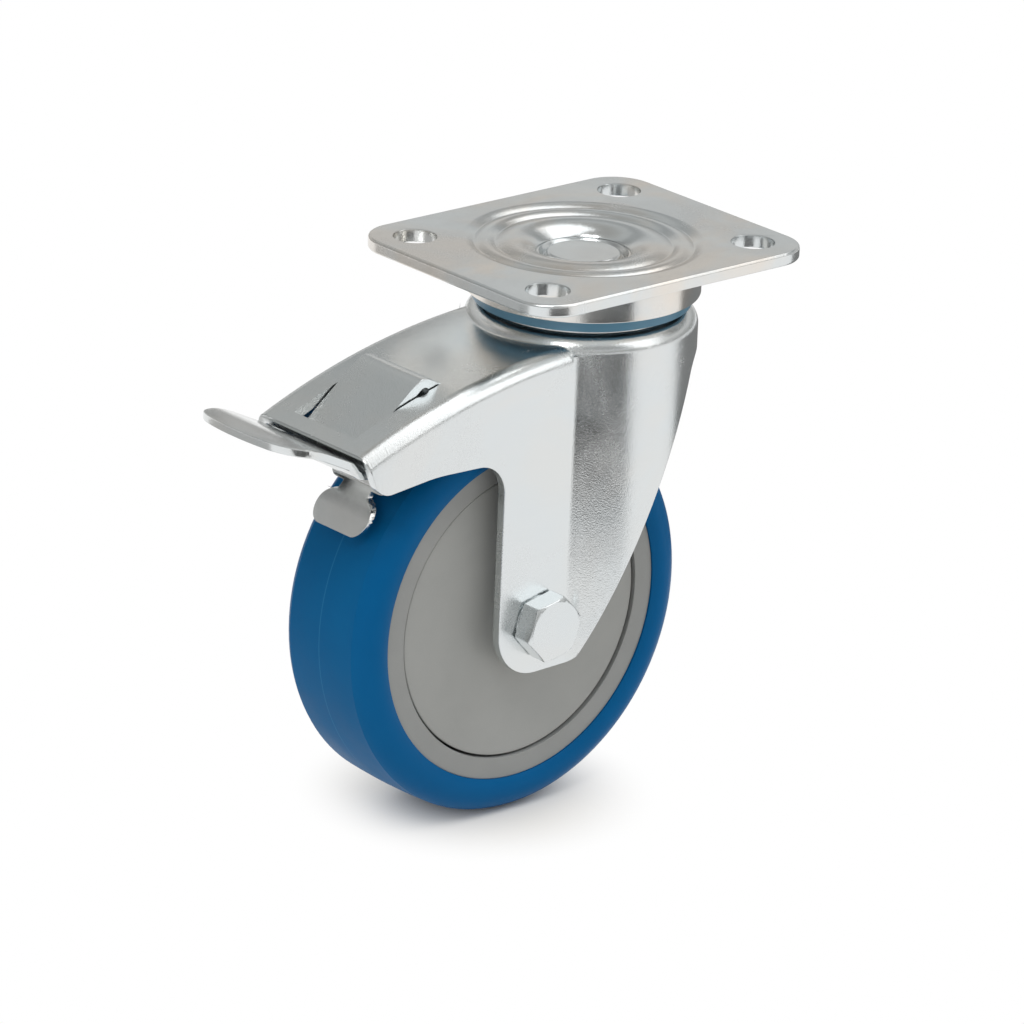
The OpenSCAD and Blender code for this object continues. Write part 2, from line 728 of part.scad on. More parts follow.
module axle_bolt() {
  length = 2 * fork_half_w + nut_h + nut_collar_h + thread_out;
  color([0.79, 0.81, 0.82]) at_wheel() {
    translate([0, -fork_half_w, 0]) rotate([90, 0, 0]) rotate([0, 0, hex_turn])
      chamfered_hex(hex_head_h);
    translate([0, -fork_half_w, 0]) along_y() {
      cylinder(h = length - 1, r = axle_r);
      translate([0, 0, length - 1]) rotate_extrude()
        polygon([[0, 0], [axle_r, 0], [axle_r - 1, 1], [0, 1]]);
    }
  }
}

module axle_nut() {
  collar_r = hex_af / 2 - 0.8;
  color([0.78, 0.80, 0.81]) at_wheel() translate([0, fork_half_w, 0]) along_y() difference() {
    union() {
      chamfered_hex(nut_h);
      cylinder(h = nut_h + nut_collar_h, r = collar_r);
    }
    translate([0, 0, -1]) cylinder(h = nut_h + nut_collar_h + 2, r = axle_r);
    translate([0, 0, nut_h]) cylinder(h = nut_collar_h - 0.6, r = axle_r + 1.6);
  }
}

// The nylon ring that locks the nut
module nut_insert() {
  color([0.85, 0.87, 0.88]) at_wheel() translate([0, fork_half_w + nut_h, 0]) along_y()
    difference() {
      cylinder(h = nut_collar_h - 0.6, r = axle_r + 1.6);
      translate([0, 0, -1]) cylinder(h = nut_collar_h + 2, r = axle_r);
    }
}

module brake_pivot() {
  color([0.70, 0.71, 0.72]) at_pivot() rotate([90, 0, 0])
    cylinder(h = 2 * (inner_half_w - pivot_end_gap), r = pivot_r, center = true);
}

// Side view of the pedal, from its tip to the tooth that locks the swivel
pedal_tip_x = fork_rear_x - pedal_reach;
pedal_bed_z = pivot_z - eye_r + 0.6;
tooth_x = -lock_r + 1.3;
tooth_top = lock_z - lock_t - 1.5;

module pedal_section() {
  dip_x = strip_rear_x + 4;
  dip_z = roof_top(dip_x) - strip_dip - sheet_t - 2;
  lip_z = roof_under(fork_rear_x);
  sheet_section([
    [pedal_tip_x, -pedal_tip_drop, 0],
    [pedal_tip_x + pedal_reach / 2, -pedal_mid_drop, pedal_bend_r],
    [fork_rear_x - 2, lip_z + 1.8, 4.5],
    [fork_rear_x + 0.6, lip_z - 1.4, 3],
    [dip_x, dip_z, 6],
    [pivot_x, pedal_bed_z, 20],
    [tooth_x - 1.5, tooth_top - 4.5, 3],
    [tooth_x, tooth_top, 0]
  ], pedal_t, n = 8);
}

// Plan of the pedal: a broad foot plate, a waist with a window for the leaf, and the tooth
module pedal_plan() {
  arm_half = strip_half_w - 1.5;
  tooth_half = lock_notch / 2 - 0.4;
  difference() {
    polygon(rounded([
      [pedal_tip_x + 4, -pedal_half_w, 11],
      [pedal_tip_x, 0, 60],
      [pedal_tip_x + 4, pedal_half_w, 11],
      [pedal_front_x, pedal_half_w, 5],
      [pedal_front_x + 8, arm_half, 6],
      [pedal_taper_x, arm_half, 20],
      [tooth_x - 4, tooth_half, 0],
      [tooth_x + 5, tooth_half, 0],
      [tooth_x + 5, -tooth_half, 0],
      [tooth_x - 4, -tooth_half, 0],
      [pedal_taper_x, -arm_half, 20],
      [pedal_front_x + 8, -arm_half, 6],
      [pedal_front_x, -pedal_half_w, 5]
    ], closed = true, n = 10));
    translate([pivot_x - 15, -neck_half_w - 1]) square([25, 2 * (neck_half_w + 1)]);
  }
}

module brake_pedal() {
  ear_in = neck_half_w + 1;
  ear_w = strip_half_w - 1.5 - ear_in;
  color([0.74, 0.74, 0.73]) difference() {
    union() {
      intersection() {
        across(pedal_half_w + 5) pedal_section();
        translate([0, 0, -axle_drop]) linear_extrude(axle_drop) pedal_plan();
      }
      both_sides() at_pivot() translate([0, ear_in, 0]) along_y() cylinder(h = ear_w, r = eye_r);
    }
    at_pivot() rotate([90, 0, 0])
      cylinder(h = 4 * fork_half_w, r = pivot_r + pivot_gap, center = true);
  }
}

// Points of the leaf's end, which follows the tread at the leaf's gap
function shoe(a) = [-trail, -axle_drop] + (tyre_r + leaf_gap) * [cos(a), sin(a)];
neck_top = shoe(leaf_neck_angle);
tee_end = shoe(leaf_end_angle);

// Side view of the brake leaf: from its eye out under the pedal, down and back over the tread
module leaf_section() {
  eye_low = pivot_z - eye_r + leaf_t;
  tee_mid = shoe((leaf_neck_angle + leaf_end_angle) / 2);
  tee_over = shoe(leaf_end_angle + 3);
  sheet_section([
    [pivot_x - 1.5, eye_low, 0],
    [pivot_x - 6, eye_low - 1.5, 5],
    [leaf_bend_x, -leaf_bend_drop, 3],
    [neck_top[0], neck_top[1], 3.5],
    [tee_mid[0], tee_mid[1], 4 * tee_h],
    [tee_over[0], tee_over[1], 0]
  ], leaf_t, n = 8);
}

// Outline of the T-shaped end as seen from behind
module tee_outline() {
  low = tee_end[1];
  top = low + tee_h;
  lobe_r = tee_h / 2 - 0.1;
  neck_low = neck_top[1] + tee_h / 2;
  polygon(rounded([
    [-neck_half_w, neck_low, 0], [-neck_half_w, top, 1.5], [-tee_half_w, top, lobe_r],
    [-tee_half_w, low, lobe_r], [tee_half_w, low, lobe_r], [tee_half_w, top, lobe_r],
    [neck_half_w, top, 1.5], [neck_half_w, neck_low, 0]], closed = true, n = 8));
}

module brake_leaf() {
  rear = tee_end[0] - 8;
  web_low = neck_top[1] - 0.6;
  web_top = -leaf_bend_drop - leaf_web_gap;
  color([0.77, 0.80, 0.80]) difference() {
    union() {
      intersection() {
        across(leaf_half_w) leaf_section();
        union() {
          translate([rear, -neck_half_w, tee_end[1] + tee_h])
            cube([pivot_x - rear, 2 * neck_half_w, pivot_z - tee_end[1] - tee_h]);
          rotate([90, 0, 90]) translate([0, 0, rear]) linear_extrude(pivot_x - rear) {
            tee_outline();
            polygon(rounded([[-leaf_half_w, web_low, 4], [leaf_half_w, web_low, 4],
              [leaf_half_w, web_top, 3], [-leaf_half_w, web_top, 3]], closed = true, n = 5));
          }
        }
      }
      at_pivot() rotate([90, 0, 0]) cylinder(h = 2 * neck_half_w, r = eye_r, center = true);
    }
    at_pivot() rotate([90, 0, 0])
      cylinder(h = 4 * fork_half_w, r = pivot_r + pivot_gap, center = true);
  }
}

top_plate();
head_cup();
dust_seal();
king_pin();
lower_race();
lock_ring();
fork();
upper_balls();
lower_balls();
axle_bolt();
axle_nut();
nut_insert();
axle_sleeve();
near_thread_guard();
far_thread_guard();
bearing_inner_rings();
brake_pivot();
tyre();
wheel_rim();
bearing_outer_rings();
bearing_balls();
bearing_seals();
brake_pedal();
brake_leaf();
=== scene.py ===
import json
import math

import bmesh
import bpy
from mathutils import Matrix, Vector


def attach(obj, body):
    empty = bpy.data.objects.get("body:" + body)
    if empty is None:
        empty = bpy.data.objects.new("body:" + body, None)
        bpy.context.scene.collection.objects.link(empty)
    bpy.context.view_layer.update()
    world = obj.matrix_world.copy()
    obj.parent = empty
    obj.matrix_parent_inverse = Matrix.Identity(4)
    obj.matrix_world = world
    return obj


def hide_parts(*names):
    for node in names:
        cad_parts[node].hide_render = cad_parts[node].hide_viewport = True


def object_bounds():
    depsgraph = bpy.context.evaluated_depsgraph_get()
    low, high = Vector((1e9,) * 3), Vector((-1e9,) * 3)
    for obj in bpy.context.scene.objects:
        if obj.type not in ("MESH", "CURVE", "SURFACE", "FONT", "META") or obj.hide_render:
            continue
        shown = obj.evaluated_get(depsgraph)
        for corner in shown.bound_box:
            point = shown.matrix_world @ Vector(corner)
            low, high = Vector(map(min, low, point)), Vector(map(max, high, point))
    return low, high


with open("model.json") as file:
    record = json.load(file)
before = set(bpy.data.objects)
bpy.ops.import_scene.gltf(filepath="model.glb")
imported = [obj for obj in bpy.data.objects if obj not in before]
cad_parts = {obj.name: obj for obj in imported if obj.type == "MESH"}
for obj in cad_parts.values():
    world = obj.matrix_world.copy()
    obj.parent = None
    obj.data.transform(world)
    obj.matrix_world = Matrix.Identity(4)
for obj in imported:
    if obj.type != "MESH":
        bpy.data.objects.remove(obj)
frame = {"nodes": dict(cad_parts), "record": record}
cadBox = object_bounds()
nodes = frame["nodes"]
scene = bpy.context.scene
bodyOf = {}
for bodyName, members in frame["record"]["behaviour"]["bodies"].items():
    for member in members:
        bodyOf[member] = bodyName

print("stage 1: camera and light")

# The photograph was taken with a long lens from a little above, pedal side towards the left
cameraSetup = {
    "place": (-1.226256, -1.372278, 0.598582),
    "heading": 41.222,  # degrees from +Y towards +X
    "pitch": 20.428,  # degrees down
    "roll": 2.319,
    "lens": 230.52,
    "sensor": 36.0,
    "clip": (0.05, 50.0),
}


def makeCamera(setup):
    heading = math.radians(setup["heading"])
    pitch = math.radians(setup["pitch"])
    roll = math.radians(setup["roll"])
    right = Vector((math.cos(heading), -math.sin(heading), 0.0))
    back = Vector((
        -math.sin(heading) * math.cos(pitch),
        -math.cos(heading) * math.cos(pitch),
        math.sin(pitch),
    ))
    up = back.cross(right)
    axisX = right * math.cos(roll) + up * math.sin(roll)
    axisY = up * math.cos(roll) - right * math.sin(roll)
    data = bpy.data.cameras.new("photoCamera")
    data.sensor_width = setup["sensor"]
    data.lens = setup["lens"]
    data.clip_start, data.clip_end = setup["clip"]
    data.dof.use_dof = False
    camera = bpy.data.objects.new("photoCamera", data)
    turn = Matrix((axisX, axisY, back)).transposed().to_4x4()
    camera.matrix_world = Matrix.Translation(Vector(setup["place"])) @ turn
    scene.collection.objects.link(camera)
    scene.camera = camera


makeCamera(cameraSetup)
scene.view_settings.view_transform = "Standard"


# Small helpers that every material uses
class Tree:
    def __init__(self, nodeTree):
        self.tree = nodeTree

    def add(self, kind, **values):
        node = self.tree.nodes.new(kind)
        for key, value in values.items():
            setattr(node, key, value)
        return node

    def join(self, start, end):
        self.tree.links.new(start, end)

    def fill(self, socket, value):
        if isinstance(value, bpy.types.NodeSocket):
            self.join(value, socket)
        elif value is not None:
            socket.default_value = value

    def noise(self, vector, scale, detail, roughness, distortion=0.0):
        node = self.add("ShaderNodeTexNoise")
        self.join(vector, node.inputs["Vector"])
        node.inputs["Scale"].default_value = scale
        node.inputs["Detail"].default_value = detail
        node.inputs["Roughness"].default_value = roughness
        node.inputs["Distortion"].default_value = distortion
        return node.outputs["Fac"]

    def mapRange(self, value, low, high, toLow=0.0, toHigh=1.0, smooth=False):
        node = self.add("ShaderNodeMapRange")
        if smooth:
            node.interpolation_type = "SMOOTHSTEP"
        self.join(value, node.inputs["Value"])
        node.inputs["From Min"].default_value = low
        node.inputs["From Max"].default_value = high
        node.inputs["To Min"].default_value = toLow
        node.inputs["To Max"].default_value = toHigh
        return node.outputs["Result"]

    def math(self, operation, a, b=None):
        node = self.add("ShaderNodeMath", operation=operation)
        self.fill(node.inputs[0], a)
        self.fill(node.inputs[1], b)
        return node.outputs[0]

    def mixColour(self, factor, a, b, blend="MIX"):
        node = self.add("ShaderNodeMix", data_type="RGBA", blend_type=blend)
        self.fill(node.inputs[0], factor)
        self.fill(node.inputs[6], a)
        self.fill(node.inputs[7], b)
        return node.outputs[2]

    def split(self, vector):
        node = self.add("ShaderNodeSeparateXYZ")
        self.join(vector, node.inputs[0])
        return node.outputs

    def stretch(self, vector, scale):
        node = self.add("ShaderNodeMapping")
        self.join(vector, node.inputs["Vector"])
        node.inputs["Scale"].default_value = scale
        return node.outputs[0]

    def bump(self, height, strength, distance, normal=None):
        node = self.add("ShaderNodeBump")
        self.fill(node.inputs["Strength"], strength)
        node.inputs["Distance"].default_value = distance
        self.join(height, node.inputs["Height"])
        if normal is not None:
            self.join(normal, node.inputs["Normal"])
        return node.outputs[0]


def grey(value):
    return (value, value, value, 1.0)


def newGroup(name, inputs, outputs):
    group = bpy.data.node_groups.new(name, "ShaderNodeTree")
    for label, kind, value in inputs:
        socket = group.interface.new_socket(label, in_out="INPUT", socket_type=kind)
        if value is not None:
            socket.default_value = value
    for label, kind in outputs:
        group.interface.new_socket(label, in_out="OUTPUT", socket_type=kind)
    tree = Tree(group)
    start = tree.add("NodeGroupInput").outputs
    end = tree.add("NodeGroupOutput").inputs
    return group, tree, start, end


def newMaterial(name):
    material = bpy.data.materials.new(name)
    material.use_nodes = True
    tree = Tree(material.node_tree)
    shader = material.node_tree.nodes["Principled BSDF"]
    place = tree.add("ShaderNodeTexCoord").outputs["Object"]
    return material, tree, shader, place


def useGroup(tree, group, **values):
    node = tree.add("ShaderNodeGroup")
    node.node_tree = group
    for label, value in values.items():
        tree.fill(node.inputs[label], value)
    return node.outputs


def addPiece(name, bm):
    mesh = bpy.data.meshes.new(name)
    bm.to_mesh(mesh)
    bm.free()
    piece = bpy.data.objects.new(name, mesh)
    scene.collection.objects.link(piece)
    return piece


floorSetup = {
    "height": cadBox[0][2],
    "half": 6.0,
    "colour": (0.93, 0.90, 0.85, 1.0),
    "roughness": 0.9,
    "gleam": 0.1,
    "shadowReach": 0.010,  # distance at which the floor starts to turn plain white
    "whiteReach": 0.056,
    "centre": (-0.0342, 0.0),  # where the tyre stands
}


def makeFloor(setup):
    bm = bmesh.new()
    bmesh.ops.create_grid(bm, x_segments=1, y_segments=1, size=setup["half"])
    bmesh.ops.translate(bm, verts=bm.verts, vec=(0.0, 0.0, setup["height"]))
    floor = addPiece("studioFloor", bm)
    material, tree, shader, place = newMaterial("paleFloor")
    shader.inputs["Base Color"].default_value = setup["colour"]
    shader.inputs["Roughness"].default_value = setup["roughness"]
    shader.inputs["Specular IOR Level"].default_value = setup["gleam"]
    glow = tree.add("ShaderNodeEmission")
    glow.inputs["Color"].default_value = grey(1.0)
    distance = tree.add("ShaderNodeVectorMath", operation="DISTANCE")
    tree.join(place, distance.inputs[0])
    distance.inputs[1].default_value = (*setup["centre"], setup["height"])
    far = tree.mapRange(
        distance.outputs["Value"], setup["shadowReach"], setup["whiteReach"], smooth=True
    )
    path = tree.add("ShaderNodeLightPath").outputs
    seen = tree.math("MAXIMUM", path["Is Camera Ray"], path["Is Glossy Ray"])
    seen = tree.math("MAXIMUM", seen, path["Is Transmission Ray"])
    mix = tree.add("ShaderNodeMixShader")
    tree.join(tree.math("MULTIPLY", far, seen), mix.inputs[0])
    tree.join(shader.outputs[0], mix.inputs[1])
    tree.join(glow.outputs[0], mix.inputs[2])
    tree.join(mix.outputs[0], tree.tree.nodes["Material Output"].inputs["Surface"])
    floor.data.materials.append(material)


makeFloor(floorSetup)

lightAim = (-0.03, 0.0, -0.08)
lightSetup = {
    "keySoftbox": {
        "place": (-0.9, -0.5, 1.5), "size": 0.9, "power": 12.0, "mirrored": True,
    },
    "fillSoftbox": {
        "place": (1.08, -0.57, 1.10), "size": 0.9, "power": 4.6, "mirrored": False,
    },
    "backSoftbox": {
        "place": (0.5, 1.6, 1.1), "size": 1.2, "power": 6.0, "mirrored": False,
    },
}


def makeLamp(name, place, size, power, mirrored):
    data = bpy.data.lights.new(name, "AREA")
    data.shape = "SQUARE"
    data.size = size
    data.energy = power
    lamp = bpy.data.objects.new(name, data)
    lamp.location = place
    aim = Vector(lightAim) - Vector(place)
    lamp.rotation_euler = aim.to_track_quat("-Z", "Y").to_euler()
    lamp.visible_glossy = mirrored
    scene.collection.objects.link(lamp)


for lampName, values in lightSetup.items():
    makeLamp(lampName, **values)

# A bent white card over the set, only mirrored: it lies where the fork's long bend looks
cardSetup = {
    "centre": (-0.06, 0.0, -0.05),
    "reach": 1.7,
    "along": (0.617, 0.705, -0.349),  # from the camera to the castor
    "tilts": (20.0, 72.0),  # of the steel from level towards the near side, in degrees
    "slopes": (-4.0, 26.0),  # of the steel from level towards the pedal, in degrees
    "steps": 12,
    "glow": 1.5,
}


def hideButMirrored(piece):
    piece.visible_camera = False
    piece.visible_diffuse = False
    piece.visible_shadow = False
    piece.visible_transmission = False


def between(ends, share):
    return ends[0] * (1.0 - share) + ends[1] * share


def makeCard(setup):
    bm = bmesh.new()
    ray = Vector(setup["along"]).normalized()
    centre = Vector(setup["centre"])
    steps = setup["steps"]
    rows = []
    for row in range(steps + 1):
        tilt = math.radians(between(setup["tilts"], row / steps))
        line = []
        for column in range(steps + 1):
            slope = math.radians(between(setup["slopes"], column / steps))
            normal = Vector((
                -math.sin(slope) * math.cos(tilt),
                -math.sin(tilt),
                math.cos(slope) * math.cos(tilt),
            ))
            mirrored = ray - 2.0 * ray.dot(normal) * normal
            line.append(bm.verts.new(centre + setup["reach"] * mirrored))
        rows.append(line)
    for first, second in zip(rows, rows[1:]):
        for column in range(steps):
            bm.faces.new((
                first[column], first[column + 1], second[column + 1], second[column],
            ))
    card = addPiece("whiteCard", bm)
    hideButMirrored(card)
    material, _, shader, _ = newMaterial("cardGlow")
    shader.inputs["Base Color"].default_value = grey(0.0)
    shader.inputs["Emission Color"].default_value = grey(1.0)
    shader.inputs["Emission Strength"].default_value = setup["glow"]
    card.data.materials.append(material)


makeCard(cardSetup)

# The room round the set by height, as level plated steel mirrors it
worldSetup = {
    "belts": (
        (0.00, (0.30, 0.30, 0.29, 1.0)),
        (0.13, (0.50, 0.50, 0.49, 1.0)),
        (0.30, (0.80, 0.80, 0.79, 1.0)),
        (0.38, (0.76, 0.76, 0.75, 1.0)),
        (0.47, (0.40, 0.41, 0.41, 1.0)),
        (0.57, (0.38, 0.39, 0.39, 1.0)),
        (0.68, (0.62, 0.63, 0.62, 1.0)),
        (0.90, (0.46, 0.45, 0.43, 1.0)),
    ),
    "strength": 0.85,
    "darkSide": (-0.66, 0.75, 0.0),  # a curtain stands behind on the left
    "darkStart": 0.55,
    "darkest": 0.70,
}


def makeWorld(setup):
    world = bpy.data.worlds.new("studioRoom")
    scene.world = world
    world.use_nodes = True
    tree = Tree(world.node_tree)
    direction = tree.add("ShaderNodeTexCoord").outputs["Generated"]
    room = tree.add("ShaderNodeValToRGB")
    room.color_ramp.interpolation = "EASE"
    stops = room.color_ramp.elements
    # A new ramp already has its first two stops
    for index, (position, colour) in enumerate(setup["belts"]):
        stop = stops[index] if index < 2 else stops.new(position)
        stop.position = position
        stop.color = colour
    tree.join(tree.split(direction)[2], room.inputs[0])
    side = tree.add("ShaderNodeVectorMath", operation="DOT_PRODUCT")
    tree.join(direction, side.inputs[0])
    side.inputs[1].default_value = setup["darkSide"]
    dim = tree.mapRange(
        side.outputs["Value"], setup["darkStart"], 1.0, 1.0, setup["darkest"], smooth=True
    )
    shade = tree.add("ShaderNodeCombineColor")
    for channel in shade.inputs:
        tree.join(dim, channel)
    background = world.node_tree.nodes["Background"]
    background.inputs["Strength"].default_value = setup["strength"]
    tree.join(
        tree.mixColour(1.0, room.outputs[0], shade.outputs[0], "MULTIPLY"),
        background.inputs["Color"],
    )


makeWorld(worldSetup)

# Cloths on the floor, which only show as the dark bands on bright steel
clothLift = 0.004
clothSetup = {
    "darkCloth": {"turns": (0.0, 50.0), "near": 0.275, "far": 0.80, "tone": 0.12},
    "greyCloth": {"turns": (108.0, 172.0), "near": 0.20, "far": 0.95, "tone": 0.27},
    "leftCloth": {"turns": (-105.0, -52.0), "near": 0.20, "far": 0.95, "tone": 0.56},
}


def makeCloth(name, turns, near, far, tone):
    bm = bmesh.new()
    # Degrees to the right of the camera, seen from the crown
    start, stop = (math.radians(-90.0 - cameraSetup["heading"] + turn) for turn in turns)
    ends = [
        bm.verts.new((reach * math.cos(start), reach * math.sin(start), 0.0))
        for reach in (near, far)
    ]
    line = bm.edges.new(ends)
    bmesh.ops.spin(
        bm, geom=[line] + ends, cent=(0.0, 0.0, 0.0), axis=(0.0, 0.0, 1.0),
        angle=stop - start, steps=12,
    )
    bmesh.ops.translate(bm, verts=bm.verts, vec=(0.0, 0.0, floorSetup["height"] + clothLift))
    cloth = addPiece(name, bm)
    hideButMirrored(cloth)
    material, _, shader, _ = newMaterial(name)
    shader.inputs["Base Color"].default_value = grey(tone)
    shader.inputs["Roughness"].default_value = 0.9
    shader.inputs["Specular IOR Level"].default_value = 0.0
    cloth.data.materials.append(material)


for clothName, values in clothSetup.items():
    makeCloth(clothName, **values)

print("stage 2: finishes")

# Rolled and plated sheet: a fine orange peel over slow waves
peelSetup = {
    # Scale, detail, roughness and distortion of each noise
    "waves": (55.0, 2.0, 0.4, 0.0),
    "peel": (620.0, 2.0, 0.5, 0.0),
    "grain": (2100.0, 2.0, 0.6, 0.0),
    "cloud": (38.0, 5.0, 0.62, 0.6),
    # Depths in metres
    "waveDepth": 0.0008,
    "peelDepth": 0.00012,
    "grainDepth": 0.00008,
    "cloudRange": (0.34, 0.68),
    "speckRange": (0.35, 0.7),
}


def makePeelGroup(setup):
    group, tree, start, end = newGroup(
        "platedSheetPeel",
        [("Place", "NodeSocketVector", None), ("Fine", "NodeSocketFloat", 0.2),
         ("Broad", "NodeSocketFloat", 0.3), ("Speckle", "NodeSocketFloat", 0.2)],
        [("Normal", "NodeSocketVector"), ("Cloud", "NodeSocketFloat"),
         ("Speck", "NodeSocketFloat")],
    )
    place = start["Place"]
    waves = tree.noise(place, *setup["waves"])
    peel = tree.noise(place, *setup["peel"])
    grain = tree.noise(place, *setup["grain"])
    normal = tree.bump(waves, start["Broad"], setup["waveDepth"])
    normal = tree.bump(peel, start["Fine"], setup["peelDepth"], normal)
    normal = tree.bump(grain, start["Speckle"], setup["grainDepth"], normal)
    tree.join(normal, end["Normal"])
    cloud = tree.noise(place, *setup["cloud"])
    tree.join(tree.mapRange(cloud, *setup["cloudRange"]), end["Cloud"])
    tree.join(tree.mapRange(grain, *setup["speckRange"]), end["Speck"])
    return group


peelGroup = makePeelGroup(peelSetup)

# The bolt's thread, which only shows where the shank stands out of the nut: a bump, with
# painted shade in its roots
threadSetup = {
    "axle": (-0.0342, -0.1055),  # X and Z of the axle
    "radius": 0.0061,
    "start": 0.0262,
    "pitch": 0.00175,
    "depth": 0.0009,
    # The painted shade in the thread roots fades out over this share
    "grooveShadeShare": 0.45,  # of the half turn from the root to the crest
}


def makeThreadGroup(setup):
    group, tree, start, end = newGroup(
        "boltThread",
        [("Place", "NodeSocketVector", None), ("Normal", "NodeSocketVector", None)],
        [("Normal", "NodeSocketVector"), ("GrooveShade", "NodeSocketFloat")],
    )
    place = tree.split(start["Place"])
    x = tree.math("SUBTRACT", place[0], setup["axle"][0])
    z = tree.math("SUBTRACT", place[2], setup["axle"][1])
    turn = tree.math("DIVIDE", tree.math("ARCTAN2", z, x), math.tau)
    rise = tree.math("ADD", tree.math("DIVIDE", place[1], setup["pitch"]), turn)
    wave = tree.math("MULTIPLY", tree.math("PINGPONG", rise, 0.5), 2.0)
    squares = tree.math(
        "ADD", tree.math("MULTIPLY", x, x), tree.math("MULTIPLY", z, z)
    )
    radius = tree.math("SQRT", squares)
    shank = tree.math(
        "MULTIPLY",
        tree.math("LESS_THAN", radius, setup["radius"]),
        tree.math("GREATER_THAN", place[1], setup["start"]),
    )
    height = tree.math("MULTIPLY", wave, shank)
    tree.join(tree.bump(height, 1.0, setup["depth"], start["Normal"]), end["Normal"])
    # Painted shade: darkest in the thread roots, fading out towards the crests
    grooveShade = tree.mapRange(wave, 0.0, setup["grooveShadeShare"], 1.0, 0.0)
    tree.join(tree.math("MULTIPLY", grooveShade, shank), end["GrooveShade"])
    return group


threadGroup = makeThreadGroup(threadSetup)

zincSetup = {
    "cool": (0.72, 0.755, 0.765, 1.0),
    "warm": (0.80, 0.745, 0.68, 1.0),
    "pale": (0.81, 0.815, 0.81, 1.0),
    "paleShare": 0.35,
    "roughness": (0.14, 0.27),
    "speckRoughness": 0.05,
    # Bright passivation leaves slow warm and cool fields
    "field": (24.0, 3.0, 0.55, 0.9),
    "fieldRange": (0.38, 0.66),
    # Faint drawing marks along the sheet
    "markStretch": (30.0, 900.0, 900.0),
    "marks": (1.0, 4.0, 0.6, 0.0),
    "markRange": (0.45, 0.8),
    "markColour": (0.6, 0.61, 0.62, 1.0),
    "markShare": 0.05,
    # Colour of the painted shade in the bolt's thread roots
    "grooveShadeColour": (0.30, 0.30, 0.30, 1.0),
}

zincKinds = {
    "zincPlate": {"warmth": 1.0, "fine": 0.10, "broad": 0.12, "speckle": 0.3},
    "zincFork": {"warmth": 0.22, "fine": 0.08, "broad": 0.07, "speckle": 0.6},
    "zincSmall": {"warmth": 0.35, "shine": 0.03, "fine": 0.08, "broad": 0.10},
    "zincBolt": {"warmth": 0.25, "shine": -0.02, "fine": 0.15, "broad": 0.08, "thread": True},
    "groundSteel": {"warmth": 0.1, "shine": 0.08, "fine": 0.06, "broad": 0.04},
}


def makeZinc(name, setup, warmth, fine, broad, shine=0.0, speckle=0.2, thread=False):
    material, tree, shader, place = newMaterial(name)
    peel = useGroup(tree, peelGroup, Place=place, Fine=fine, Broad=broad, Speckle=speckle)
    field = tree.noise(place, *setup["field"])
    field = tree.mapRange(field, *setup["fieldRange"], smooth=True)
    colour = tree.mixColour(
        tree.math("MULTIPLY", field, warmth), setup["cool"], setup["warm"]
    )
    colour = tree.mixColour(
        tree.math("MULTIPLY", peel["Cloud"], setup["paleShare"]), colour, setup["pale"]
    )
    marks = tree.noise(tree.stretch(place, setup["markStretch"]), *setup["marks"])
    marks = tree.mapRange(marks, *setup["markRange"])
    colour = tree.mixColour(
        tree.math("MULTIPLY", marks, setup["markShare"]), colour, setup["markColour"]
    )
    normal = peel["Normal"]
    if thread:
        cut = useGroup(tree, threadGroup, Place=place, Normal=normal)
        normal = cut["Normal"]
        # Painted shade darkens the thread roots
        colour = tree.mixColour(cut["GrooveShade"], colour, setup["grooveShadeColour"])
    tree.join(colour, shader.inputs["Base Color"])
    smoothest, roughest = (value - shine for value in setup["roughness"])
    rough = tree.mapRange(peel["Cloud"], 0.0, 1.0, smoothest, roughest)
    specks = tree.math("MULTIPLY", peel["Speck"], setup["speckRoughness"])
    tree.join(tree.math("ADD", rough, specks), shader.inputs["Roughness"])
    shader.inputs["Metallic"].default_value = 1.0
    tree.join(normal, shader.inputs["Normal"])
    return material


# Moulded parts share a fine texture with slow flow marks
mouldSetup = {
    "fine": (3200.0, 2.0, 0.6, 0.0),
    "slow": (60.0, 3.0, 0.5, 0.4),
    "slowStrength": 0.12,
    "slowDepth": 0.0004,
    "fineDepth": 0.00004,
    "flowRange": (0.35, 0.68),
    "grainRange": (0.3, 0.7),
    "grainShare": 0.12,
    "grainTone": 0.75,  # of the plain colour
}

mouldedKinds = {
    "greyPlastic": {
        "colour": (0.325, 0.335, 0.335, 1.0), "flow": (0.355, 0.364, 0.364, 1.0),
        "roughness": (0.44, 0.52), "depth": 0.2,
    },
    "guardPlastic": {
        "colour": (0.385, 0.395, 0.390, 1.0), "flow": (0.412, 0.422, 0.416, 1.0),
        "roughness": (0.42, 0.52), "depth": 0.2,
    },
    "sealPlastic": {
        "colour": (0.105, 0.265, 0.400, 1.0), "flow": (0.120, 0.290, 0.425, 1.0),
        "roughness": (0.28, 0.36), "depth": 0.12,
    },
    "nylon": {
        "colour": (0.70, 0.74, 0.74, 1.0), "flow": (0.76, 0.79, 0.79, 1.0),
        "roughness": (0.35, 0.45), "depth": 0.1,
    },
    "blackRubber": {
        "colour": (0.012, 0.012, 0.013, 1.0), "flow": (0.018, 0.018, 0.019, 1.0),
        "roughness": (0.45, 0.6), "depth": 0.2,
    },
    "blueRubber": {
        "colour": (0.0020, 0.124, 0.328, 1.0), "flow": (0.0030, 0.136, 0.352, 1.0),
        "roughness": (0.42, 0.52), "depth": 0.25, "gleam": 0.07,
    },
}


